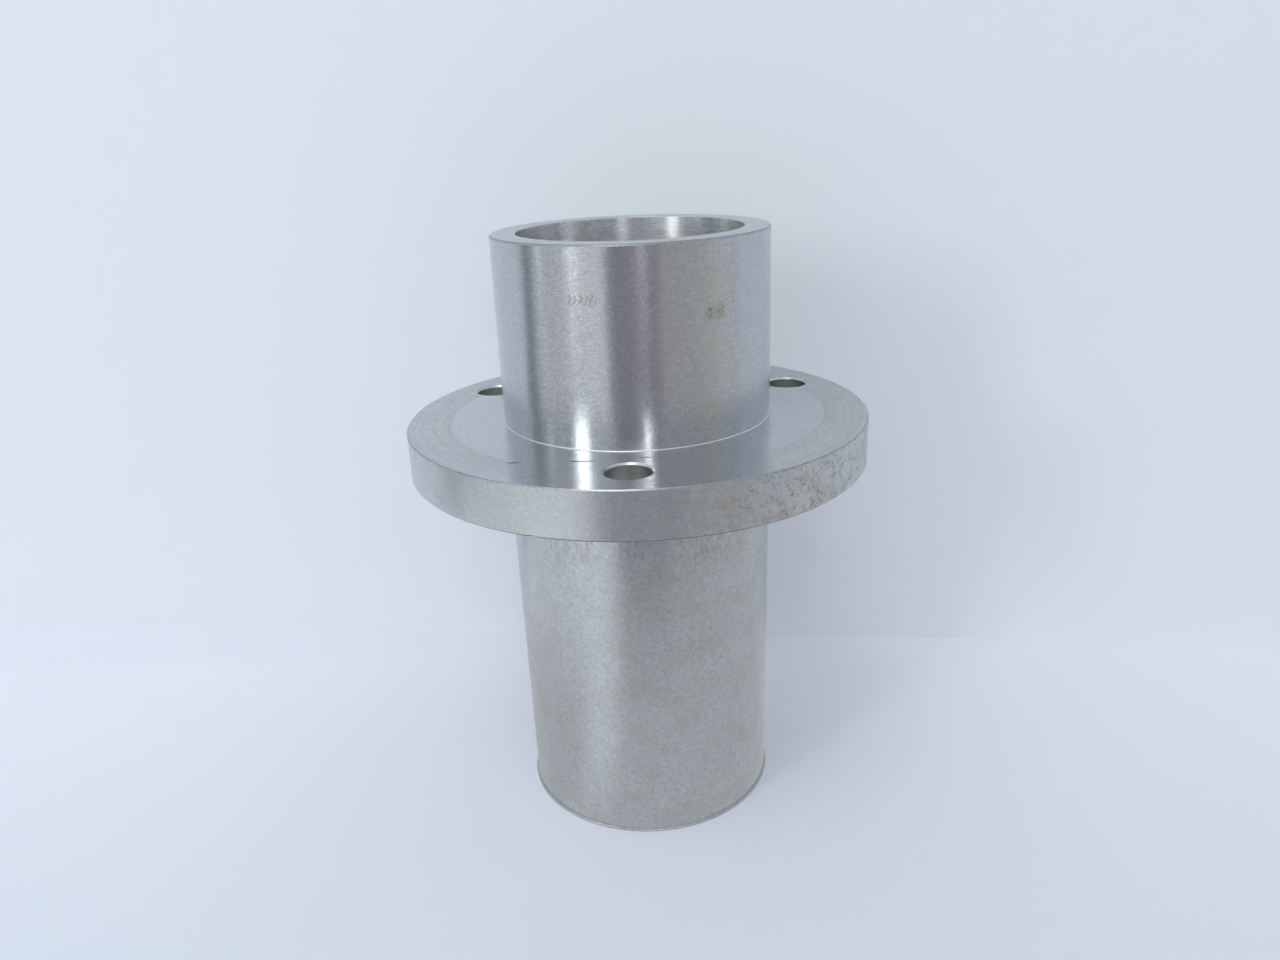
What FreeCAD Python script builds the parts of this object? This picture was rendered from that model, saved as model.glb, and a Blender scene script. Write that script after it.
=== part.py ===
import FreeCAD, Part
import os
import Sketcher

# Flanged sleeve coupling: a plain steel tube with a bolting flange pressed on to it.
#
# Units are millimetres. The origin is on the bore's axis, in the flange's underside, which is the
# face that seats on the machine. +Z runs up the bore, through the flange, to the short end of the
# tube, and one bolt hole lies on -Y.

# Driving dimensions: alias, value in millimetres (or a plain count), and what it is.
DIMENSIONS = [
    ("barrel_diameter", 60.0, "outside diameter of the tube, the same above and below the flange"),
    ("bore_diameter", 49.0, "plain bore, right through"),
    ("barrel_above", 40.5, "tube standing above the flange"),
    ("barrel_below", 83.2, "tube standing below the flange"),
    ("barrel_edge_break", 0.4, "chamfer on the tube's outer edges"),
    ("bore_edge_break", 0.15, "chamfer on the bore's mouths"),
    ("seat_diameter", 60.4, "land on the tube that the flange is pressed on to"),
    ("seat_proud", 0.15, "height of the land above the flange's upper face"),
    ("seat_chamfer", 0.1, "chamfer on the land's upper edge"),
    ("flange_diameter", 103.0, "outside diameter of the flange"),
    ("flange_thickness", 10.3, "thickness of the flange"),
    ("flange_top_chamfer", 0.25, "chamfer on the flange's upper rim"),
    ("flange_under_chamfer", 0.35, "chamfer on the flange's lower rim"),
    ("bolt_circle_diameter", 83.0, "pitch circle of the bolt holes"),
    ("bolt_hole_diameter", 9.3, "clearance hole for an M8 bolt"),
    ("bolt_hole_count", 3, "bolt holes, evenly spaced"),
    ("bolt_hole_chamfer", 0.4, "chamfer on both mouths of each bolt hole"),
]

SHEET_LABEL = "dimensions"
FULL_TURN = 360.0
EDGE_TOLERANCE = 1e-6


def make_sheet(doc):
    """The spreadsheet that every sketch and feature reads."""
    sheet = doc.addObject("Spreadsheet::Sheet", "Dimensions")
    sheet.Label = SHEET_LABEL
    for row, (alias, value, meaning) in enumerate(DIMENSIONS, start=1):
        sheet.set(f"A{row}", alias)
        sheet.set(f"B{row}", str(value))
        sheet.setAlias(f"B{row}", alias)
        sheet.set(f"C{row}", meaning)
    doc.recompute()
    return sheet


def cell(alias):
    """How an expression names a cell of the sheet."""
    return f"<<{SHEET_LABEL}>>.{alias}"


def make_body(doc, label):
    """A body whose label is its file name. Both pieces are drawn where they sit."""
    body = doc.addObject("PartDesign::Body", label)
    body.Label = label
    body.Placement = FreeCAD.Placement()
    return body


def origin_feature(body, role):
    """One of the body's own origin planes or axes, such as XY_Plane or Z_Axis."""
    return next(f for f in body.Origin.OriginFeatures if f.Role == role)


def make_sketch(body, name, height=None):
    """An empty sketch on the body's own XY plane, lifted along Z by the height expression."""
    sketch = body.newObject("Sketcher::SketchObject", name)
    sketch.AttachmentSupport = [(origin_feature(body, "XY_Plane"), "")]
    sketch.MapMode = "FlatFace"
    if height:
        sketch.setExpression("AttachmentOffset.Base.z", height)
    return sketch


def drive(sketch, constraint, name, expression):
    """Adds a dimension to the sketch, names it and ties it to the sheet."""
    index = sketch.addConstraint(constraint)
    sketch.renameConstraint(index, name)
    sketch.setExpression(f"Constraints.{name}", expression)


def add_centred_circle(sketch, name, radius, diameter):
    """A circle round the sketch's origin, drawn near its size and driven by an expression."""
    circle = Part.Circle(FreeCAD.Vector(0, 0, 0), FreeCAD.Vector(0, 0, 1), radius)
    index = sketch.addGeometry(circle, False)
    sketch.addConstraint(Sketcher.Constraint("Coincident", index, 3, -1, 1))
    drive(sketch, Sketcher.Constraint("Diameter", index, 2 * radius), name, diameter)


def pad_ring(body, name, outer, inner, length, start=None):
    """A round ring about Z, from start upwards. outer and inner are (radius, expression)."""
    sketch = make_sketch(body, f"{name}_sketch", start)
    add_centred_circle(sketch, "outer", *outer)
    add_centred_circle(sketch, "inner", *inner)
    pad = body.newObject("PartDesign::Pad", name)
    pad.Profile = sketch
    pad.setExpression("Length", length)
    sketch.Visibility = False
    body.Document.recompute()
    return pad


def round_edges(shape, radius, heights):
    """Names of the full-circle edges of that radius at any of those heights."""
    names = []
    for number, edge in enumerate(shape.Edges, start=1):
        curve = edge.Curve
        if not isinstance(curve, Part.Circle) or abs(curve.Radius - radius) > EDGE_TOLERANCE:
            continue
        if any(abs(curve.Center.z - height) < EDGE_TOLERANCE for height in heights):
            names.append(f"Edge{number}")
    return names


def chamfer(body, name, base, edges, size, count):
    """Chamfers exactly count named edges of base."""
    if len(edges) != count:
        raise RuntimeError(f"{name}: found {len(edges)} edges, and expected {count}")
    feature = body.newObject("PartDesign::Chamfer", name)
    feature.Base = (base, edges)
    feature.setExpression("Size", size)
    body.Document.recompute()
    return feature


def make_barrel(doc, sheet):
    """The tube: a plain bore, a slightly proud land for the flange, and every edge broken."""
    body = make_body(doc, "sleeve_barrel")
    outside = (sheet.barrel_diameter / 2, cell("barrel_diameter"))
    bore = (sheet.bore_diameter / 2, cell("bore_diameter"))
    total = f"{cell('barrel_below')} + {cell('flange_thickness')} + {cell('barrel_above')}"
    pad_ring(body, "tube", outside, bore, total, start=f"-{cell('barrel_below')}")

    seat = (sheet.seat_diameter / 2, cell("seat_diameter"))
    middle_of_wall = (
        (sheet.barrel_diameter + sheet.bore_diameter) / 4,
        f"({cell('barrel_diameter')} + {cell('bore_diameter')}) / 2",
    )
    land_height = f"{cell('flange_thickness')} + {cell('seat_proud')}"
    land = pad_ring(body, "seat_land", seat, middle_of_wall, land_height)

    ends = (-sheet.barrel_below, sheet.flange_thickness + sheet.barrel_above)
    outer = round_edges(land.Shape, sheet.barrel_diameter / 2, ends)
    broken = chamfer(body, "outer_edges", land, outer, cell("barrel_edge_break"), 2)
    mouths = round_edges(broken.Shape, sheet.bore_diameter / 2, ends)
    opened = chamfer(body, "bore_mouths", broken, mouths, cell("bore_edge_break"), 2)
    land_top = (sheet.flange_thickness + sheet.seat_proud,)
    shoulder = round_edges(opened.Shape, sheet.seat_diameter / 2, land_top)
    chamfer(body, "land_edge", opened, shoulder, cell("seat_chamfer"), 1)
    return body


def cut_bolt_holes(body, sheet):
    """One clearance hole on -Y, repeated round Z, with both mouths chamfered."""
    sketch = make_sketch(body, "bolt_hole_sketch")
    reach = sheet.bolt_circle_diameter / 2
    place = FreeCAD.Vector(0, -reach, 0)
    hole = Part.Circle(place, FreeCAD.Vector(0, 0, 1), sheet.bolt_hole_diameter / 2)
    index = sketch.addGeometry(hole, False)
    sketch.addConstraint(Sketcher.Constraint("PointOnObject", index, 3, -2))
    diameter = Sketcher.Constraint("Diameter", index, sheet.bolt_hole_diameter)
    drive(sketch, diameter, "hole", cell("bolt_hole_diameter"))
    offset = Sketcher.Constraint("DistanceY", index, 3, -1, 1, reach)
    drive(sketch, offset, "reach", f"{cell('bolt_circle_diameter')} / 2")

    pocket = body.newObject("PartDesign::Pocket", "bolt_hole")
    pocket.Profile = sketch
    pocket.Reversed = True
    pocket.setExpression("Length", cell("flange_thickness"))
    sketch.Visibility = False
    doc = body.Document
    doc.recompute()

    pattern = body.newObject("PartDesign::PolarPattern", "bolt_circle")
    pattern.Originals = [pocket]
    pattern.Axis = (origin_feature(body, "Z_Axis"), [""])
    pattern.Angle = FULL_TURN
    pattern.setExpression("Occurrences", cell("bolt_hole_count"))
    body.Tip = pattern
    doc.recompute()

    faces = (0.0, sheet.flange_thickness)
    mouths = round_edges(pattern.Shape, sheet.bolt_hole_diameter / 2, faces)
    count = 2 * int(sheet.bolt_hole_count)
    chamfer(body, "hole_mouths", pattern, mouths, cell("bolt_hole_chamfer"), count)


def make_flange(doc, sheet):
    """The bolting ring: a bore to the land's diameter, a broken rim and the bolt circle."""
    body = make_body(doc, "flange_ring")
    rim = (sheet.flange_diameter / 2, cell("flange_diameter"))
    seat = (sheet.seat_diameter / 2, cell("seat_diameter"))
    disc = pad_ring(body, "disc", rim, seat, cell("flange_thickness"))
    top = round_edges(disc.Shape, rim[0], (sheet.flange_thickness,))
    topped = chamfer(body, "upper_rim", disc, top, cell("flange_top_chamfer"), 1)
    under = round_edges(topped.Shape, rim[0], (0.0,))
    chamfer(body, "lower_rim", topped, under, cell("flange_under_chamfer"), 1)
    cut_bolt_holes(body, sheet)
    return body


def check(doc, bodies):
    """Stops before anything is written if an object failed or a piece isn't one valid solid."""
    for item in doc.Objects:
        if {"Invalid", "Error"} & set(item.State):
            raise RuntimeError(f"{item.Label} failed: {item.State}")
    for body in bodies:
        shape = body.Shape
        if shape.isNull() or not shape.isValid() or len(shape.Solids) != 1:
            raise RuntimeError(f"{body.Label} isn't one valid solid")
        box = shape.BoundBox
        print(
            f"{body.Label}: {shape.Volume:.1f} mm3, "
            f"{box.XLength:.2f} x {box.YLength:.2f} x {box.ZLength:.2f} mm"
        )


def export(bodies):
    """One STEP file for each piece, named after its label."""
    os.makedirs("parts", exist_ok=True)
    for body in bodies:
        body.Shape.exportStep(os.path.join("parts", f"{body.Label}.step"))


def main():
    doc = FreeCAD.newDocument("sleeve_coupling")
    sheet = make_sheet(doc)
    bodies = [make_barrel(doc, sheet), make_flange(doc, sheet)]
    doc.recompute()
    check(doc, bodies)
    export(bodies)


main()
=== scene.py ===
import math
import bmesh
import bpy
from mathutils import Matrix, Vector


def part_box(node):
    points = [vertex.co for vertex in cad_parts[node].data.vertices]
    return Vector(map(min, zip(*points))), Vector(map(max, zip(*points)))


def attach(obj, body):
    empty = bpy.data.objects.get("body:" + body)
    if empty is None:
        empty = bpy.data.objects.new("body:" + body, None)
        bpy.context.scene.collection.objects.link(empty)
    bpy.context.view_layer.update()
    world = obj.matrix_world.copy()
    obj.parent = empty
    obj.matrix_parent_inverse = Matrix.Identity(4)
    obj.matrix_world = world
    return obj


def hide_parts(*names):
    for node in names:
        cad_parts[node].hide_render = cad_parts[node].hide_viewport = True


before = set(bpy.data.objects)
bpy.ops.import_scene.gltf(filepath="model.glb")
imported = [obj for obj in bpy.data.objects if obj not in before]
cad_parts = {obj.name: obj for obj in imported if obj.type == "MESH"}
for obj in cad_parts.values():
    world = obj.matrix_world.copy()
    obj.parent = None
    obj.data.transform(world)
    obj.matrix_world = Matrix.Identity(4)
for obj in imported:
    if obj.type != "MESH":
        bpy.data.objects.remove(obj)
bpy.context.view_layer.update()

# Sizes in metres, in the frame's own axes. The bore's axis is Z, and the flange's underside z = 0.
MM = 0.001
SEGMENTS = 1440
HOLE_SEGMENTS = 128

barrel_low, barrel_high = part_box("sleeve_barrel")
_, flange_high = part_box("flange_ring")
BASE_Z = barrel_low.z
TOP_Z = barrel_high.z
FLANGE_R = flange_high.x
FLANGE_TOP = flange_high.z
SEAT_R = barrel_high.x
BARREL_R = 30.0 * MM
BORE_R = 24.5 * MM
SEAT_PROUD = 0.15 * MM
BOLT_CIRCLE_R = 41.5 * MM
HOLE_R = 4.65 * MM
HOLE_CHAMFER = 0.4 * MM
HOLE_ANGLES = (-90.0, 30.0, 150.0)

# Camera: fitted distance, height and roll, at the part's real size.
CAMERA_ELEVATION = math.radians(20.212)
CAMERA_ROLL = math.radians(-2.310)
CAMERA_PLACE = Vector((0.00001, -0.21333, 0.07170))
CAMERA_LENS_MM = 27.274
SENSOR_MM = 36.0
CAMERA_NEAREST = 0.005

# The camera and the room are turned together about the part's axis, so that the front bolt hole
# stands a little left of the middle.
VIEW_TURN = math.radians(2.85)

# Room
WALL_Y = 0.064
WALL_TURN = math.radians(-6.4)
ROOM_SIZE = 6.0


# ---------------------------------------------------------------- meshes

def rounded(corners, steps=5):
    """A closed (r, z, group) outline with rounded corners.

    corners are (r, z, radius, group), where group is that of the side that starts at the corner.
    """
    outline = []
    count = len(corners)
    for i, (r, z, radius, group) in enumerate(corners):
        here = Vector((r, z))
        if radius == 0.0:
            outline.append((r, z, group))
            continue
        back = Vector(corners[i - 1][:2]) - here
        ahead = Vector(corners[(i + 1) % count][:2]) - here
        back.normalize()
        ahead.normalize()
        half = back.angle(ahead) / 2
        reach = radius / math.tan(half)
        centre = here + (back + ahead).normalized() * (radius / math.sin(half))
        start = here + back * reach - centre
        sweep = math.pi - 2 * half
        turn = 1.0 if start.x * ahead.y - start.y * ahead.x > 0 else -1.0
        for step in range(steps + 1):
            angle = turn * sweep * step / steps
            x = start.x * math.cos(angle) - start.y * math.sin(angle)
            y = start.x * math.sin(angle) + start.y * math.cos(angle)
            outline.append((centre.x + x, centre.y + y, group))
    return outline


def lathe(outline, segments, move=None):
    """Turns a closed outline about Z. move(r, z, angle) may shift a point."""
    shape = bmesh.new()
    rings = []
    for step in range(segments):
        angle = 2 * math.pi * step / segments
        ring = []
        for r, z, _ in outline:
            if move:
                r, z = move(r, z, angle)
            place = (r * math.cos(angle), r * math.sin(angle), z)
            ring.append(shape.verts.new(place))
        rings.append(ring)
    count = len(outline)
    for step in range(segments):
        near = rings[step]
        far = rings[(step + 1) % segments]
        for i in range(count):
            j = (i + 1) % count
            face = shape.faces.new((near[i], far[i], far[j], near[j]))
            face.material_index = outline[i][2]
            face.smooth = True
    bmesh.ops.recalc_face_normals(shape, faces=shape.faces)
    return shape


def as_object(name, shape, materials):
    """Puts a bmesh shape in the scene. Its faces' groups are the materials' places in the list."""
    mesh = bpy.data.meshes.new(name)
    shape.to_mesh(mesh)
    shape.free()
    for material in materials:
        mesh.materials.append(material)
    piece = bpy.data.objects.new(name, mesh)
    bpy.context.scene.collection.objects.link(piece)
    return piece


def weighted_normals(piece):
    """Keeps broad faces flat or evenly curved beside their small bevels."""
    normals = piece.modifiers.new("even_normals", "WEIGHTED_NORMAL")
    normals.mode = "FACE_AREA"
    normals.weight = 100
    normals.keep_sharp = True


# ---------------------------------------------------------------- material nodes

class Nodes:
    """Short names for making and linking a material's nodes."""

    def __init__(self, material):
        self.tree = material.node_tree
        self.nodes = self.tree.nodes
        self.links = self.tree.links

    def add(self, kind, **settings):
        node = self.nodes.new(kind)
        for key, value in settings.items():
            setattr(node, key, value)
        return node

    def put(self, socket, value):
        if isinstance(value, bpy.types.NodeSocket):
            self.links.new(value, socket)
        else:
            socket.default_value = value

    def math(self, operation, a, b=0.0, clamp=False):
        node = self.add("ShaderNodeMath", operation=operation, use_clamp=clamp)
        self.put(node.inputs[0], a)
        self.put(node.inputs[1], b)
        return node.outputs[0]

    def noise(self, vector, scale, detail=3.0, roughness=0.55):
        node = self.add("ShaderNodeTexNoise")
        self.put(node.inputs["Vector"], vector)
        self.put(node.inputs["Scale"], scale)
        self.put(node.inputs["Detail"], detail)
        self.put(node.inputs["Roughness"], roughness)
        return node.outputs["Fac"]

    def remap(self, value, low, high, to_low=0.0, to_high=1.0):
        node = self.add("ShaderNodeMapRange", clamp=True, interpolation_type="SMOOTHSTEP")
        self.put(node.inputs["Value"], value)
        self.put(node.inputs["From Min"], low)
        self.put(node.inputs["From Max"], high)
        self.put(node.inputs["To Min"], to_low)
        self.put(node.inputs["To Max"], to_high)
        return node.outputs["Result"]

    def mix(self, factor, a, b):
        node = self.add("ShaderNodeMix", data_type="RGBA")
        self.put(node.inputs["Factor"], factor)
        self.put(node.inputs[6], a)
        self.put(node.inputs[7], b)
        return node.outputs[2]

    def vector(self, x, y, z):
        node = self.add("ShaderNodeCombineXYZ")
        for socket, value in zip(node.inputs, (x, y, z)):
            self.put(socket, value)
        return node.outputs[0]


def turned_coordinates(n):
    """Where a point is on the turned part, from the object's own coordinates, in millimetres.

    at is the point itself. r and angle are its polar place, and cos and sin its direction.
    """
    place = n.add("ShaderNodeTexCoord").outputs["Object"]
    scaled = n.add("ShaderNodeVectorMath", operation="SCALE")
    n.put(scaled.inputs[0], place)
    scaled.inputs["Scale"].default_value = 1 / MM
    split = n.add("ShaderNodeSeparateXYZ")
    n.put(split.inputs[0], scaled.outputs[0])
    x, y, z = split.outputs
    radius = n.math("SQRT", n.math("ADD", n.math("MULTIPLY", x, x), n.math("MULTIPLY", y, y)))
    return {
        "at": scaled.outputs[0],
        "x": x,
        "y": y,
        "z": z,
        "r": radius,
        "cos": n.math("DIVIDE", x, radius),
        "sin": n.math("DIVIDE", y, radius),
        "angle": n.math("ARCTAN2", y, x),
    }


# Settings that all the turned steel shares. The two scales are in cycles a millimetre.
ROUND_CHANGE = 14.0
BROAD_GROOVES = 7
SPECK_SCALE = 1.8
PATCH_SCALE = 0.11
GROOVE_CONTRAST = 0.16
PALE_SPECK = 1.25
DULL_SPECK = 0.72
SPECK_TINT = 0.75
STAIN_TONE = (0.34, 0.32, 0.27, 1.0)
SPECK_ROUGHNESS = 0.16
GROOVE_ROUGHNESS = 0.10
SPECK_HEIGHT = 0.25
LEAST_ROUGHNESS = 0.08
BUMP_STRENGTH = 0.24
BUMP_DISTANCE = 0.012 * MM
QUARTER_TURN = 0.25


def steel(name, colour, roughness, anisotropy, along, groove_mm, groove, grain, stain, marks=None):
    """Turned steel.

    along is "z" on a wall or "r" on a face: the way the tool moved from groove to groove. groove,
    grain and stain are strengths from 0 to 1.
    """
    material = bpy.data.materials.new(name)
    material.use_nodes = True
    n = Nodes(material)
    shader = n.nodes["Principled BSDF"]
    c = turned_coordinates(n)

    # Tool grooves run round the part, so they vary fast along the tool's path and slowly round it.
    round_x = n.math("MULTIPLY", c["cos"], ROUND_CHANGE)
    round_y = n.math("MULTIPLY", c["sin"], ROUND_CHANGE)
    path = n.math("DIVIDE", c[along], groove_mm)
    broad_path = n.math("DIVIDE", c[along], groove_mm * BROAD_GROOVES)
    fine = n.noise(n.vector(round_x, round_y, path), 1.0, 3.0)
    broad = n.noise(n.vector(c["cos"], c["sin"], broad_path), 1.0, 2.0)
    speck = n.noise(c["at"], SPECK_SCALE, 5.0, 0.75)
    patch = n.noise(c["at"], PATCH_SCALE, 5.0, 0.62)

    contrast = GROOVE_CONTRAST * groove
    light = tuple(min(1.0, part * (1 + contrast)) for part in colour) + (1.0,)
    dark = tuple(part * (1 - contrast) for part in colour) + (1.0,)
    pale = tuple(min(1.0, part * PALE_SPECK) for part in colour) + (1.0,)
    dull = tuple(part * DULL_SPECK for part in colour) + (1.0,)
    tone = n.mix(n.remap(fine, 0.34, 0.66), dark, light)
    tone = n.mix(n.remap(speck, 0.50, 0.66, 0.0, SPECK_TINT * grain), tone, pale)
    tone = n.mix(n.remap(speck, 0.50, 0.34, 0.0, SPECK_TINT * grain), tone, dull)
    tone = n.mix(n.remap(patch, 0.48, 0.70, 0.0, stain), tone, STAIN_TONE)

    speck_part = n.math("MULTIPLY", n.math("SUBTRACT", speck, 0.5), SPECK_ROUGHNESS * grain)
    broad_part = n.math("MULTIPLY", n.math("SUBTRACT", broad, 0.5), GROOVE_ROUGHNESS * groove)
    rough = n.math("ADD", n.math("ADD", roughness, speck_part), broad_part)
    speck_height = n.math("MULTIPLY", speck, SPECK_HEIGHT * grain)
    height = n.math("ADD", n.math("MULTIPLY", fine, groove), speck_height)
    if marks:
        tone, rough, height = marks(n, c, tone, rough, height)
    n.put(shader.inputs["Base Color"], tone)
    n.put(shader.inputs["Roughness"], n.math("MAXIMUM", rough, LEAST_ROUGHNESS))
    bump = n.add("ShaderNodeBump")
    bump.inputs["Strength"].default_value = BUMP_STRENGTH
    bump.inputs["Distance"].default_value = BUMP_DISTANCE
    n.put(bump.inputs["Height"], height)
    n.put(shader.inputs["Normal"], bump.outputs[0])

    shader.inputs["Metallic"].default_value = 1.0
    shader.inputs["Anisotropic"].default_value = anisotropy
    shader.inputs["Anisotropic Rotation"].default_value = QUARTER_TURN
    tangent = n.add("ShaderNodeTangent", direction_type="RADIAL", axis="Z")
    n.put(shader.inputs["Tangent"], tangent.outputs[0])
    return material


# ---------------------------------------------------------------- marks

# Angles are in degrees round the part from +X, and other sizes in millimetres.
TUBE_REACH = 30.0
RIM_REACH = 51.5

OLIVE_ANGLE = -58
OLIVE_TONE = (0.52, 0.49, 0.39, 1.0)
VIOLET_ANGLE = -82
VIOLET_TONE = (0.54, 0.51, 0.55, 1.0)
UPPER_SKIN_TONE = (0.40, 0.40, 0.38, 1.0)
CRESCENT_ANGLE = -106.4
CRESCENT_HEIGHT = 40.4
CRESCENT_PITCH = 1.15
SCUFF_ANGLE = -54.8
SCUFF_HEIGHT = 36.7
SCUFF_TONE = (0.20, 0.20, 0.14, 1.0)

LOWER_CLOUD_TONE = (0.44, 0.42, 0.38, 1.0)
LOWER_SKIN_TONE = (0.36, 0.355, 0.34, 1.0)
SCRATCH_TONE = (0.24, 0.24, 0.23, 1.0)

RIM_PATCH_ANGLE = -138.5
RIM_PATCH_HEIGHT = 4.0
RIM_STAIN_TONE = (0.42, 0.39, 0.31, 1.0)
PIT_TONE = (0.19, 0.185, 0.15, 1.0)

# The scratches on the flange's top: x, y, half length, half width and strength.
TOP_SCRATCHES = (
    (-22.8, -35.2, 1.3, 0.42, 1.0),
    (-9.2, -35.2, 2.9, 0.38, 1.0),
    (2.0, -33.75, 2.2, 0.40, 0.7),
)
OUTER_BAND_R = 42.4
OUTER_BAND_TONE = (0.36, 0.34, 0.31, 1.0)
TURNED_LINE_TONE = (0.30, 0.29, 0.27, 1.0)
TOP_SCRATCH_TONE = (0.08, 0.08, 0.08, 1.0)


def near_angle(n, c, degrees, inner, outer):
    """1 near that angle round the part, falling to 0. inner and outer are in degrees away from it."""
    away = n.math("ABSOLUTE", n.math("SUBTRACT", c["angle"], math.radians(degrees)))
    return n.remap(away, math.radians(inner), math.radians(outer), 1.0, 0.0)


def near_height(n, c, middle, inner, outer):
    """1 near that height in millimetres, falling to 0."""
    away = n.math("ABSOLUTE", n.math("SUBTRACT", c["z"], middle))
    return n.remap(away, inner, outer, 1.0, 0.0)


def slanted_marks(n, c, reach, slope, across_mm, along_mm, low, high, seed):
    """A 0 to 1 mask of short marks on a wall of that radius.

    slope 0 is upright, and 1 leans 45 degrees. Less of the wall is marked as low and high go up.
    """
    arc = n.math("MULTIPLY", c["angle"], reach)
    u = n.math("ADD", arc, n.math("MULTIPLY", c["z"], slope))
    v = n.math("SUBTRACT", c["z"], n.math("MULTIPLY", arc, slope))
    place = n.vector(n.math("DIVIDE", u, across_mm), n.math("DIVIDE", v, along_mm), seed)
    return n.remap(n.noise(place, 1.0, 2.0), low, high)


def crescents(n, c, reach, height, pitch):
    """A 0 to 1 mask of a level row of small bowed marks on a wall of that radius."""
    arc = n.math("DIVIDE", n.math("MULTIPLY", c["angle"], reach), pitch)
    up = n.math("DIVIDE", n.math("SUBTRACT", c["z"], height), pitch)
    bend = n.math("MULTIPLY", n.math("MULTIPLY", up, up), 0.35)
    bow = n.math("ADD", bend, n.math("MULTIPLY", up, -0.25))
    wobble = n.math("MULTIPLY", n.math("SUBTRACT", n.noise(c["at"], 0.7, 2.0), 0.5), 1.2)
    # The 100 keeps the sum above 0, where FRACT repeats evenly.
    cell = n.math("FRACT", n.math("ADD", n.math("ADD", arc, bow), n.math("ADD", wobble, 100.0)))
    line = n.remap(n.math("ABSOLUTE", n.math("SUBTRACT", cell, 0.5)), 0.10, 0.26, 1.0, 0.0)
    return n.math("MULTIPLY", line, n.remap(n.math("ABSOLUTE", up), 0.5, 1.3, 1.0, 0.0))


def upper_barrel_marks(n, c, tone, rough, height):
    """Olive and violet tarnish on the front, two patches of small scuffs, and a cloudy skin."""
    cloud = n.remap(n.noise(c["at"], 0.16, 4.0), 0.36, 0.66, 0.35, 1.0)
    olive = n.math("MULTIPLY", near_angle(n, c, OLIVE_ANGLE, 1, 11), cloud)
    olive = n.math("MULTIPLY", olive, 0.42)
    violet = n.math("MULTIPLY", near_angle(n, c, VIOLET_ANGLE, 4, 18), 0.40)
    skin = n.remap(n.noise(c["at"], 0.8, 5.0, 0.65), 0.42, 0.64, 0.0, 0.20)
    tone = n.mix(violet, tone, VIOLET_TONE)
    tone = n.mix(olive, tone, OLIVE_TONE)
    tone = n.mix(skin, tone, UPPER_SKIN_TONE)

    left_patch = near_angle(n, c, CRESCENT_ANGLE, 5, 6.5)
    left_scuffs = crescents(n, c, TUBE_REACH, CRESCENT_HEIGHT, CRESCENT_PITCH)
    left_scuffs = n.math("MULTIPLY", left_scuffs, left_patch)
    right_patch = near_angle(n, c, SCUFF_ANGLE, 2.5, 6)
    right_patch = n.math("MULTIPLY", right_patch, near_height(n, c, SCUFF_HEIGHT, 0.5, 2.0))
    right_scuffs = slanted_marks(n, c, TUBE_REACH, 0.9, 0.24, 1.3, 0.50, 0.54, 5.0)
    right_scuffs = n.math("MULTIPLY", right_scuffs, right_patch)
    left_scuffs = n.math("MULTIPLY", left_scuffs, 0.42)
    right_scuffs = n.math("MULTIPLY", right_scuffs, 0.80)
    scuffs = n.math("ADD", left_scuffs, right_scuffs, clamp=True)
    tone = n.mix(scuffs, tone, SCUFF_TONE)
    return tone, rough, n.math("SUBTRACT", height, n.math("MULTIPLY", scuffs, 0.8))


def lower_barrel_marks(n, c, tone, rough, height):
    """Short upright scratches, thickest just under the flange, and a mottled satin skin."""
    near = n.remap(c["z"], -22.0, -7.0, 0.05, 1.0)
    cloud = n.noise(c["at"], 0.16, 4.0, 0.6)
    near = n.math("MULTIPLY", near, n.remap(cloud, 0.40, 0.60, 0.35, 1.0))
    scratch = slanted_marks(n, c, TUBE_REACH, 0.16, 0.42, 3.2, 0.48, 0.60, 4.0)
    scratch = n.math("MULTIPLY", scratch, near)
    skin = n.noise(c["at"], 0.85, 6.0, 0.72)
    tone = n.mix(n.remap(cloud, 0.44, 0.66, 0.0, 0.24), tone, LOWER_CLOUD_TONE)
    tone = n.mix(n.remap(skin, 0.46, 0.62, 0.0, 0.30), tone, LOWER_SKIN_TONE)
    tone = n.mix(n.math("MULTIPLY", scratch, 0.52), tone, SCRATCH_TONE)
    rough = n.math("ADD", rough, n.math("MULTIPLY", n.math("SUBTRACT", cloud, 0.5), 0.16))
    return tone, rough, n.math("SUBTRACT", height, n.math("MULTIPLY", scratch, 0.5))


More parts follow.
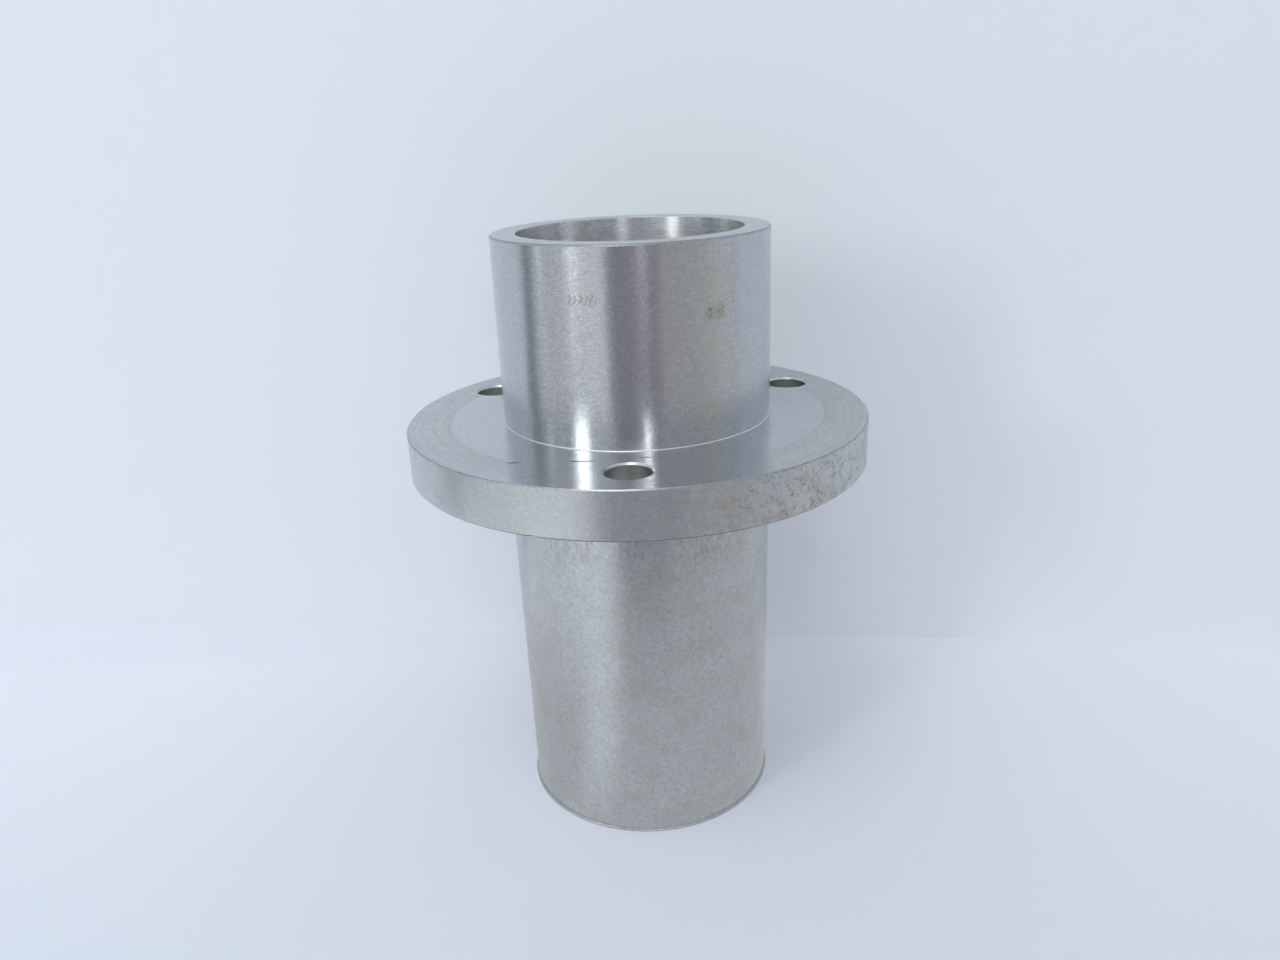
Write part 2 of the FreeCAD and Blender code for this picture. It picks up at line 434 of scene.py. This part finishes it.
def rim_marks(n, c, tone, rough, height):
    """Small pits in slanting rows, with olive stains, on the right of the flange's rim.

    There is one more patch at the left.
    """
    right = n.remap(c["cos"], 0.10, 0.75, 0.10, 1.0)
    rows = slanted_marks(n, c, RIM_REACH, 0.70, 1.5, 4.0, 0.47, 0.56, 9.0)
    pits = slanted_marks(n, c, RIM_REACH, -0.30, 0.42, 0.75, 0.50, 0.62, 3.0)
    bites = slanted_marks(n, c, RIM_REACH, -0.55, 0.75, 1.30, 0.53, 0.63, 7.0)
    marks = n.math("MULTIPLY", n.math("MULTIPLY", rows, n.math("MAXIMUM", pits, bites)), right)
    left_patch = near_angle(n, c, RIM_PATCH_ANGLE, 1, 5)
    left_patch = n.math("MULTIPLY", left_patch, near_height(n, c, RIM_PATCH_HEIGHT, 0.8, 3.0))
    left_pits = n.math("MULTIPLY", n.math("MULTIPLY", pits, left_patch), 0.5)
    marks = n.math("MAXIMUM", marks, left_pits)
    cloud = n.remap(n.noise(c["at"], 0.26, 5.0, 0.65), 0.44, 0.62)
    cloud = n.math("MULTIPLY", cloud, n.remap(c["cos"], -0.10, 0.40, 0.15, 1.0))
    tone = n.mix(n.math("MULTIPLY", cloud, 0.34), tone, RIM_STAIN_TONE)
    tone = n.mix(n.math("MULTIPLY", marks, 0.64), tone, PIT_TONE)
    height = n.math("SUBTRACT", height, n.math("MULTIPLY", marks, 0.6))
    return tone, n.math("ADD", rough, n.math("MULTIPLY", cloud, 0.06)), height


def dash(n, c, x, y, half_length, half_width):
    """A 0 to 1 mask of one short straight mark on a flat face, lying along X."""
    along = n.math("ABSOLUTE", n.math("SUBTRACT", c["x"], x))
    across = n.math("ABSOLUTE", n.math("SUBTRACT", c["y"], y))
    ends = n.remap(along, half_length * 0.7, half_length, 1.0, 0.0)
    return n.math("MULTIPLY", ends, n.remap(across, half_width * 0.35, half_width, 1.0, 0.0))


def flange_top_marks(n, c, tone, rough, height):
    """Three short dark scratches at the front, and a duller outer band edged by a turned line.

    The flange's two faces share a material, so all of it is kept to the top one.
    """
    on_top = n.remap(c["z"], 4.0, 6.0)
    scratch = 0.0
    for x, y, half_length, half_width, strength in TOP_SCRATCHES:
        one = n.math("MULTIPLY", dash(n, c, x, y, half_length, half_width), strength)
        scratch = n.math("MAXIMUM", scratch, one)
    scratch = n.math("MULTIPLY", scratch, on_top)

    sides = n.remap(n.math("ABSOLUTE", c["cos"]), 0.25, 0.70, 0.15, 1.0)
    sides = n.math("MULTIPLY", sides, on_top)
    outer = n.math("MULTIPLY", n.remap(c["r"], 41.2, OUTER_BAND_R), sides)
    off_line = n.math("ABSOLUTE", n.math("SUBTRACT", c["r"], OUTER_BAND_R))
    edge_line = n.math("MULTIPLY", n.remap(off_line, 0.15, 0.45, 1.0, 0.0), sides)
    ripple = n.noise(n.vector(c["cos"], c["sin"], n.math("DIVIDE", c["r"], 1.1)), 1.0, 2.0)
    dull = n.math("MULTIPLY", outer, n.remap(ripple, 0.38, 0.62, 0.12, 0.28))
    tone = n.mix(dull, tone, OUTER_BAND_TONE)
    tone = n.mix(n.math("MULTIPLY", edge_line, 0.16), tone, TURNED_LINE_TONE)
    tone = n.mix(n.math("MULTIPLY", scratch, 0.85), tone, TOP_SCRATCH_TONE)
    rough = n.math("ADD", rough, n.math("MULTIPLY", outer, 0.06))
    rough = n.math("ADD", rough, n.math("MULTIPLY", scratch, 0.5))
    return tone, rough, n.math("SUBTRACT", height, n.math("MULTIPLY", scratch, 0.4))


# ---------------------------------------------------------------- materials

STEEL = (0.512, 0.537, 0.552)
FACE_STEEL = (0.585, 0.615, 0.635)
RIM_STEEL = (0.54, 0.567, 0.583)
# The bore's steel is paler than the outside's: painted light inside the tube.
BORE_LIGHTENED_STEEL = (0.80, 0.81, 0.82)
# The land's tone is far paler than the steel's own: a painted highlight along the hairline.
LAND_HIGHLIGHT_STEEL = (0.84, 0.84, 0.84)
# The holes' paler, greenish steel is painted light and sheen inside them.
HOLE_LIGHTENED_STEEL = (0.60, 0.62, 0.60)
# The bevels' darker steel is painted shade: the dark edge lines on the flange's top bevel and the
# tube's top outer edge.
BEVEL_SHADE_STEEL = (0.36, 0.37, 0.38)
# The under-bevel's very dark steel is painted shade, the shade under the flange's rim.
UNDER_BEVEL_SHADE_STEEL = (0.20, 0.21, 0.23)

# Name, colour, roughness, anisotropy, tool path, groove width in mm, groove, grain, stain, marks.
upper_wall = steel("upper_wall", STEEL, 0.25, 0.80, "z", 0.22, 0.38, 0.75, 0.05, upper_barrel_marks)
lower_wall = steel("lower_wall", STEEL, 0.32, 0.50, "z", 0.30, 0.20, 0.80, 0.08, lower_barrel_marks)
# Painted light: the pale tone brightens the bore's inside, and the flange's seat.
lightened_bore_wall = steel("lightened_bore_wall", BORE_LIGHTENED_STEEL, 0.27, 0.80, "z", 0.45, 0.70, 0.15, 0.04)
end_face = steel("end_face", RIM_STEEL, 0.30, 0.60, "r", 0.25, 0.30, 0.45, 0.06)
# Painted highlight: the land's pale tone keeps its hairline bright.
land_edge = steel("land_edge", LAND_HIGHLIGHT_STEEL, 0.35, 0.0, "z", 0.2, 0.10, 0.3, 0.0)
flange_face = steel(
    "flange_face", FACE_STEEL, 0.21, 0.60, "r", 0.28, 0.40, 0.55, 0.10, flange_top_marks
)
flange_rim = steel("flange_rim", RIM_STEEL, 0.33, 0.55, "z", 0.30, 0.25, 0.65, 0.10, rim_marks)
# Painted light: the holes' pale tone brightens their insides.
lightened_hole_wall = steel("lightened_hole_wall", HOLE_LIGHTENED_STEEL, 0.32, 0.0, "z", 0.35, 0.50, 0.5, 0.1)
# Painted shade: a darker steel tone draws the bevels' dark edge lines.
shaded_bevel = steel("shaded_bevel", BEVEL_SHADE_STEEL, 0.28, 0.0, "z", 0.2, 0.10, 0.6, 0.1)
# Painted shade: the dark tone draws a dark line all round under the rim.
shaded_under_bevel = steel("shaded_under_bevel", UNDER_BEVEL_SHADE_STEEL, 0.45, 0.0, "z", 0.2, 0.10, 0.6, 0.1)


# ---------------------------------------------------------------- pieces

UPPER, LOWER, BORE, END, LAND, BREAK = range(6)
LAND_BEVEL = 0.1 * MM
MOUTH_BEVEL = 0.15 * MM
EDGE_BREAK = 0.4 * MM
CRISP = 0.02 * MM
BREAK_CORNER = 0.04 * MM
sleeve_corners = [
    (BORE_R + MOUTH_BEVEL, TOP_Z, CRISP, END),
    (BORE_R, TOP_Z - MOUTH_BEVEL, CRISP, BORE),
    (BORE_R, BASE_Z, MOUTH_BEVEL, END),
    (BARREL_R, BASE_Z, EDGE_BREAK, LOWER),
    (BARREL_R, 0.0, 0.0, LOWER),
    (SEAT_R, 0.0, 0.0, LAND),
    (SEAT_R, FLANGE_TOP + SEAT_PROUD - LAND_BEVEL, CRISP, LAND),
    (SEAT_R - LAND_BEVEL, FLANGE_TOP + SEAT_PROUD, CRISP, LAND),
    (BARREL_R, FLANGE_TOP + SEAT_PROUD, 0.0, UPPER),
    (BARREL_R, TOP_Z - EDGE_BREAK, BREAK_CORNER, BREAK),
    (BARREL_R - EDGE_BREAK, TOP_Z, BREAK_CORNER, END),
]
sleeve = as_object(
    "sleeve_body",
    lathe(rounded(sleeve_corners), SEGMENTS),
    [upper_wall, lower_wall, lightened_bore_wall, end_face, land_edge, shaded_bevel],
)
weighted_normals(sleeve)

RIM, FACE, SEAT, HOLE, BEVEL, UNDER = range(6)
NICK_ANGLE = math.radians(-110.7)
NICK_HALF_WIDTH = 1.1 * MM
NICK_DEPTH = 0.35 * MM
NICK_HEIGHT = 0.9 * MM
NICK_REACH = 0.5 * MM


def nick(r, z, angle):
    """A small dent where the flange's lower rim was knocked. angle runs from 0 to a full turn."""
    along = abs(angle - (NICK_ANGLE + 2 * math.pi)) * FLANGE_R / NICK_HALF_WIDTH
    if along < 1.0 and r > FLANGE_R - NICK_REACH and z < NICK_HEIGHT:
        r -= NICK_DEPTH * (1 - along * along) * (1 - z / NICK_HEIGHT)
    return r, z


TOP_BEVEL = 0.25 * MM
UNDER_BEVEL = 0.35 * MM
SOFT = 0.05 * MM
SEAT_CORNER = 0.06 * MM
flange_corners = [
    (SEAT_R, FLANGE_TOP, SEAT_CORNER, SEAT),
    (SEAT_R, 0.0, SEAT_CORNER, FACE),
    (FLANGE_R - UNDER_BEVEL, 0.0, SOFT, UNDER),
    (FLANGE_R, UNDER_BEVEL, SOFT, RIM),
    # Three extra rows of points let the dent take its shape.
    (FLANGE_R, 0.5 * MM, 0.0, RIM),
    (FLANGE_R, NICK_HEIGHT, 0.0, RIM),
    (FLANGE_R, 1.4 * MM, 0.0, RIM),
    (FLANGE_R, FLANGE_TOP - TOP_BEVEL, SOFT, BEVEL),
    (FLANGE_R - TOP_BEVEL, FLANGE_TOP, SOFT, FACE),
]
FLANGE_MATERIALS = [flange_rim, flange_face, lightened_bore_wall, lightened_hole_wall, shaded_bevel, shaded_under_bevel]
flange = as_object(
    "flange_body",
    lathe(rounded(flange_corners), SEGMENTS, nick),
    FLANGE_MATERIALS,
)

# The cutter has a very thin hole along its axis, so that its outline stays clear of the axis.
PAST = 1.0 * MM
CUTTER_AXIS_R = 0.02 * MM
hole_outline = [
    (CUTTER_AXIS_R, -PAST, HOLE),
    (HOLE_R + HOLE_CHAMFER + PAST, -PAST, HOLE),
    (HOLE_R + HOLE_CHAMFER, 0.0, HOLE),
    (HOLE_R, HOLE_CHAMFER, HOLE),
    (HOLE_R, FLANGE_TOP - HOLE_CHAMFER, HOLE),
    (HOLE_R + HOLE_CHAMFER, FLANGE_TOP, HOLE),
    (HOLE_R + HOLE_CHAMFER + PAST, FLANGE_TOP + PAST, HOLE),
    (CUTTER_AXIS_R, FLANGE_TOP + PAST, HOLE),
]
SHARP_ANGLE = math.radians(32)
for angle in HOLE_ANGLES:
    cutter_shape = lathe(hole_outline, HOLE_SEGMENTS)
    turn = math.radians(angle)
    place = Vector((BOLT_CIRCLE_R * math.cos(turn), BOLT_CIRCLE_R * math.sin(turn), 0.0))
    bmesh.ops.translate(cutter_shape, verts=cutter_shape.verts, vec=place)
    cutter = as_object("hole_cutter", cutter_shape, FLANGE_MATERIALS)
    cut = flange.modifiers.new("bolt_hole", "BOOLEAN")
    cut.operation = "DIFFERENCE"
    cut.solver = "EXACT"
    cut.object = cutter
    bpy.context.view_layer.objects.active = flange
    with bpy.context.temp_override(object=flange, active_object=flange):
        bpy.ops.object.modifier_apply(modifier=cut.name)
    bpy.data.objects.remove(cutter)
flange.data.set_sharp_from_angle(angle=SHARP_ANGLE)
weighted_normals(flange)

PIECES = (
    (sleeve, "sleeve_barrel", "sleeve_steel"),
    (flange, "flange_ring", "flange_steel"),
)
for piece, node, slot in PIECES:
    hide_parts(node)
    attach(piece, "root")


# ---------------------------------------------------------------- room, light and camera

# The stage's faint glow is painted light that lifts the shadows on the wall and floor.
STAGE_GLOW = 0.06
STAGE_ROUGHNESS = 0.75
STAGE_SPECULAR = 0.2
STAGE_FRONT_Y = -0.17
STAGE_BACK_Y = 0.06
STAGE_CLOUD = 0.04
CLOUD_TONE = (0.5, 0.5, 0.5, 1.0)
FLOOR_PAINT = (0.765, 0.805, 0.86)
# The floor's front colour is painted shade: the floor is darker towards the front.
FRONT_FLOOR_SHADE = (0.63, 0.68, 0.745)
WALL_PAINT = (0.77, 0.80, 0.84)


def stage_material(name, colour, front_colour):
    """A matt pale surface, seen only from its front, so that it hides nothing from behind. Its faint
    glow is painted light that lifts the shadows on it.

    Its paint goes from front_colour to colour between STAGE_FRONT_Y and STAGE_BACK_Y. On the floor
    that is painted shade, darker towards the front.
    """
    material = bpy.data.materials.new(name)
    material.use_nodes = True
    n = Nodes(material)
    shader = n.nodes["Principled BSDF"]
    at = n.add("ShaderNodeTexCoord").outputs["Object"]
    split = n.add("ShaderNodeSeparateXYZ")
    n.put(split.inputs[0], at)
    back = n.remap(split.outputs[1], STAGE_FRONT_Y, STAGE_BACK_Y)
    paint = n.mix(back, front_colour + (1.0,), colour + (1.0,))
    cloud = n.math("MULTIPLY", n.noise(at, 9.0, 3.0), STAGE_CLOUD)
    n.put(shader.inputs["Base Color"], n.mix(cloud, paint, CLOUD_TONE))
    shader.inputs["Roughness"].default_value = STAGE_ROUGHNESS
    shader.inputs["Specular IOR Level"].default_value = STAGE_SPECULAR
    # Painted light: a faint glow of the surface's own colour lifts its shadows.
    shader.inputs["Emission Color"].default_value = colour + (1.0,)
    shader.inputs["Emission Strength"].default_value = STAGE_GLOW
    clear = n.add("ShaderNodeBsdfTransparent")
    choose = n.add("ShaderNodeMixShader")
    n.put(choose.inputs[0], n.add("ShaderNodeNewGeometry").outputs["Backfacing"])
    n.put(choose.inputs[1], shader.outputs[0])
    n.put(choose.inputs[2], clear.outputs[0])
    n.put(n.nodes["Material Output"].inputs["Surface"], choose.outputs[0])
    return material


def plane(name, corners, material):
    """A flat board of any number of corners, kept out of the part as stage."""
    mesh = bpy.data.meshes.new(name)
    mesh.from_pydata(corners, [], [tuple(range(len(corners)))])
    mesh.materials.append(material)
    board = bpy.data.objects.new(name, mesh)
    bpy.context.scene.collection.objects.link(board)
    return board


FLOOR_GAP = 0.02 * MM
half = ROOM_SIZE / 2
floor_z = BASE_Z - FLOOR_GAP
plane(
    "floor",
    [
        (-half, -half, floor_z),
        (half, -half, floor_z),
        (half, half, floor_z),
        (-half, half, floor_z),
    ],
    stage_material("floor_paint", FLOOR_PAINT, FRONT_FLOOR_SHADE),
)
wall = plane(
    "wall",
    [(-half, 0, floor_z), (half, 0, floor_z), (half, 0, half), (-half, 0, half)],
    stage_material("wall_paint", WALL_PAINT, WALL_PAINT),
)
wall.location = (-WALL_Y * math.sin(VIEW_TURN), WALL_Y * math.cos(VIEW_TURN), 0.0)
wall.rotation_euler.z = WALL_TURN + VIEW_TURN


def soft_box(name, azimuth, elevation, distance, width, height, power, colour):
    """An area light that looks at the part.

    azimuth and elevation are in degrees. azimuth is from the camera's side, positive to the right.
    """
    lamp = bpy.data.lights.new(name, "AREA")
    lamp.shape = "RECTANGLE"
    lamp.size = width
    lamp.size_y = height
    lamp.energy = power
    lamp.color = colour
    box = bpy.data.objects.new(name, lamp)
    a, e = math.radians(azimuth) + VIEW_TURN, math.radians(elevation)
    place = Vector((math.sin(a) * math.cos(e), -math.cos(a) * math.cos(e), math.sin(e))) * distance
    box.location = place
    box.rotation_euler = (-place).to_track_quat("-Z", "Y").to_euler()
    box.visible_camera = False
    bpy.context.scene.collection.objects.link(box)


# Name, azimuth, elevation, distance, width, height, power and colour.
LAMPS = (
    ("left_window", -47, 19, 1.3, 0.20, 0.5, 2.4, (0.95, 1.0, 1.0)),
    ("right_window", 8, 17, 1.3, 0.07, 0.2, 0.75, (0.97, 0.97, 1.0)),
    ("high_window", 1, 42, 1.3, 0.05, 0.3, 0.7, (0.97, 0.98, 1.0)),
    ("blue_strip", -77, 8, 1.3, 0.04, 0.5, 0.15, (0.75, 0.86, 1.0)),
    ("ceiling", -25, 66, 1.4, 0.5, 0.5, 2.0, (0.98, 0.99, 1.0)),
    ("key", -60, 50, 1.6, 1.6, 1.2, 1.9, (0.97, 0.98, 1.0)),
)
for lamp_settings in LAMPS:
    soft_box(*lamp_settings)

ROOM_STRENGTH = 1.05
BACK_ROOM = (0.88, 0.91, 0.95, 1.0)
SIDE_ROOM = (0.60, 0.62, 0.66, 1.0)
DARK_ROOM = (0.45, 0.45, 0.465, 1.0)
VIEWER_ROOM = (0.27, 0.27, 0.30, 1.0)
CURTAIN_ROOM = (0.78, 0.81, 0.84, 1.0)
STRIP_ROOM = (0.22, 0.25, 0.28, 1.0)
OVERHEAD_ROOM = (0.62, 0.645, 0.68, 1.0)
NEAR_FLOOR = (0.60, 0.62, 0.65, 1.0)
LEFT_FLOOR = (0.84, 0.90, 0.95, 1.0)
BRIGHT_FLOOR = (1.03, 1.10, 1.16, 1.0)

# The room's upright bands, each over those before it: azimuth, inner and outer in degrees, and tone.
ROOM_BANDS = (
    (12, 14, 68, DARK_ROOM),
    (1, 17, 22, VIEWER_ROOM),
    (-30, 7, 10, CURTAIN_ROOM),
    (-98, 5, 17, STRIP_ROOM),
)


def level_band(n, x, y, turn, azimuth, inner, outer):
    """1 within inner degrees of that azimuth round the part, falling to 0 at outer."""
    length = n.math("SQRT", n.math("ADD", n.math("MULTIPLY", x, x), n.math("MULTIPLY", y, y)))
    a = math.radians(azimuth) + turn
    ahead_x = n.math("MULTIPLY", x, math.sin(a))
    ahead = n.math("SUBTRACT", ahead_x, n.math("MULTIPLY", y, math.cos(a)))
    near = math.cos(math.radians(inner))
    return n.remap(n.math("DIVIDE", ahead, length), math.cos(math.radians(outer)), near)


def room_tone(n, x, y, turn):
    """The room's tone in a level direction: pale behind, darker in front, with upright bands."""
    tone = n.mix(level_band(n, x, y, turn, 0, 100, 150), BACK_ROOM, SIDE_ROOM)
    for azimuth, inner, outer, band_tone in ROOM_BANDS:
        tone = n.mix(level_band(n, x, y, turn, azimuth, inner, outer), tone, band_tone)
    return tone


def floor_tone(n, c):
    """The floor as the part reflects it. Distances from the part's axis are in millimetres.

    It is even close by, brighter at the left, and takes the room's tone far off.
    """
    x, y, r = c["x"], c["y"], c["r"]
    tone = n.mix(n.remap(r, 60.0, 250.0), NEAR_FLOOR, room_tone(n, x, y, 0.0))
    reach = n.math("MULTIPLY", n.remap(r, 70.0, 135.0), n.remap(r, 245.0, 285.0, 1.0, 0.0))
    left = n.math("MULTIPLY", level_band(n, x, y, 0.0, -70, 38, 55), reach)
    tone = n.mix(left, tone, LEFT_FLOOR)
    reach = n.math("MULTIPLY", n.remap(r, 35.0, 60.0, 0.3, 0.8), n.remap(r, 100.0, 150.0, 1.0, 0.0))
    close = n.math("MULTIPLY", level_band(n, x, y, 0.0, -36, 4, 17), reach)
    tone = n.mix(close, tone, LEFT_FLOOR)
    reach = n.math("MULTIPLY", n.remap(r, 120.0, 165.0), n.remap(r, 205.0, 235.0, 1.0, 0.0))
    bright = n.math("MULTIPLY", level_band(n, x, y, 0.0, -46, 4, 14), reach)
    return n.mix(bright, tone, BRIGHT_FLOOR)


def reflected_card(name, corners):
    """A glowing card, with the floor's tones, that shows only in reflections."""
    material = bpy.data.materials.new(name)
    material.use_nodes = True
    n = Nodes(material)
    glow = n.add("ShaderNodeEmission")
    glow.inputs["Strength"].default_value = ROOM_STRENGTH
    n.put(glow.inputs["Color"], floor_tone(n, turned_coordinates(n)))
    n.put(n.nodes["Material Output"].inputs["Surface"], glow.outputs[0])
    card = plane(name, corners, material)
    card.rotation_euler.z = VIEW_TURN
    card.visible_camera = False
    card.visible_diffuse = False
    card.visible_shadow = False


# The floor, as the part's sides reflect it.
CARD_REACH = 3.0
CARD_BACK = 0.06
CARD_LIFT = 1 * MM
card_z = BASE_Z + CARD_LIFT
reflected_card(
    "floor_card",
    [
        (-CARD_REACH, -CARD_REACH, card_z),
        (CARD_REACH, -CARD_REACH, card_z),
        (CARD_REACH, CARD_BACK, card_z),
        (-CARD_REACH, CARD_BACK, card_z),
    ],
)

# The tube stands on its lower end face, and this small card is what that face reflects.
BASE_CARD_R = BARREL_R - EDGE_BREAK
BASE_CARD_SIDES = 64
BASE_CARD_DROP = 0.01 * MM
base_card_corners = []
for side in range(BASE_CARD_SIDES):
    turn = 2 * math.pi * side / BASE_CARD_SIDES
    across, ahead = BASE_CARD_R * math.cos(turn), BASE_CARD_R * math.sin(turn)
    base_card_corners.append((across, ahead, BASE_Z - BASE_CARD_DROP))
reflected_card("base_card", base_card_corners)

OVERHEAD_FROM = 0.15
OVERHEAD_TO = 0.60
world = bpy.data.worlds.new("room")
bpy.context.scene.world = world
world.use_nodes = True
w = Nodes(world)
sky = w.nodes["Background"]
direction = w.add("ShaderNodeSeparateXYZ")
w.put(direction.inputs[0], w.add("ShaderNodeTexCoord").outputs["Generated"])
level = room_tone(w, direction.outputs[0], direction.outputs[1], VIEW_TURN)
overhead = w.remap(direction.outputs[2], OVERHEAD_FROM, OVERHEAD_TO)
w.put(sky.inputs["Color"], w.mix(overhead, level, OVERHEAD_ROOM))
sky.inputs["Strength"].default_value = ROOM_STRENGTH

camera = bpy.data.cameras.new("camera")
camera.lens = CAMERA_LENS_MM
camera.sensor_width = SENSOR_MM
camera.clip_start = CAMERA_NEAREST
viewer = bpy.data.objects.new("camera", camera)
back = Vector((0.0, -math.cos(CAMERA_ELEVATION), math.sin(CAMERA_ELEVATION)))
level_right = Vector((1.0, 0.0, 0.0))
level_up = back.cross(level_right)
right = math.cos(CAMERA_ROLL) * level_right + math.sin(CAMERA_ROLL) * level_up
up = -math.sin(CAMERA_ROLL) * level_right + math.cos(CAMERA_ROLL) * level_up
turned = Matrix((right, up, back)).transposed().to_4x4()
viewer.matrix_world = Matrix.Rotation(VIEW_TURN, 4, "Z") @ Matrix.Translation(CAMERA_PLACE) @ turned
bpy.context.scene.collection.objects.link(viewer)
bpy.context.scene.camera = viewer
bpy.context.scene.view_settings.view_transform = "Standard"
